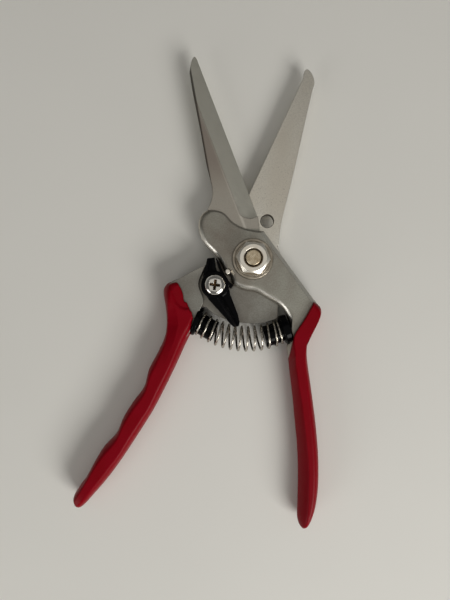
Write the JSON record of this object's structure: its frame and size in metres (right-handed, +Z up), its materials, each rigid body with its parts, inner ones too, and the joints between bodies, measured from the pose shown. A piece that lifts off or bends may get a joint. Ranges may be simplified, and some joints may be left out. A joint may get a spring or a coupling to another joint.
{
  "type": "bypass shears",
  "caption": "Hand shears with straight crossing blades, a pivot bolt, a coil return spring between dipped plastic grips and a thumb latch that holds them shut.",
  "frame": {"origin": "on the pivot axis, at the flat face of the pivot bolt's head that the shears lie on", "axes": "+Y between the open blades, +X to the right, +Z up through the nut"},
  "size_m": [0.1023, 0.195, 0.0165],
  "materials": {
    "forged_steel": "satin, blasted forging with ground blades",
    "bolt_steel": "bright nickel plate",
    "spring_steel": "bright drawn wire",
    "black_plastic": "moulded, half matt",
    "grip_red": "dipped soft plastic, half gloss"
  },
  "bodies": {
    "upper": {"upper_half": "forged_steel", "right_grip": "grip_red", "catch_pin": "bolt_steel", "right_spring_seat": "black_plastic", "pivot_bolt": "bolt_steel", "pivot_washer": "bolt_steel", "pivot_cone_washer": "bolt_steel", "pivot_nut": "bolt_steel"},
    "lower": {"lower_half": "forged_steel", "left_grip": "grip_red", "left_spring_seat": "black_plastic", "latch_guard": "black_plastic", "latch_washer": "bolt_steel", "latch_screw": "bolt_steel", "return_spring": "spring_steel"},
    "latch": {"latch_lever": "black_plastic"}
  },
  "joints": [
    {"name": "blade_pivot", "type": "hinge", "parent": "upper", "child": "lower", "pos_m": [0, 0, 0], "axis": [0, 0, 1], "range_deg": [0, 34], "stiffness_Nm_per_rad": 1.5, "springref_deg": -20.05, "deforming": ["return_spring"]},
    {"name": "latch_turn", "type": "hinge", "parent": "lower", "child": "latch", "pos_m": [-0.0152, -0.0107, 0.0115], "axis": [0, 0, -1], "range_deg": [0, 26]}
  ]
}
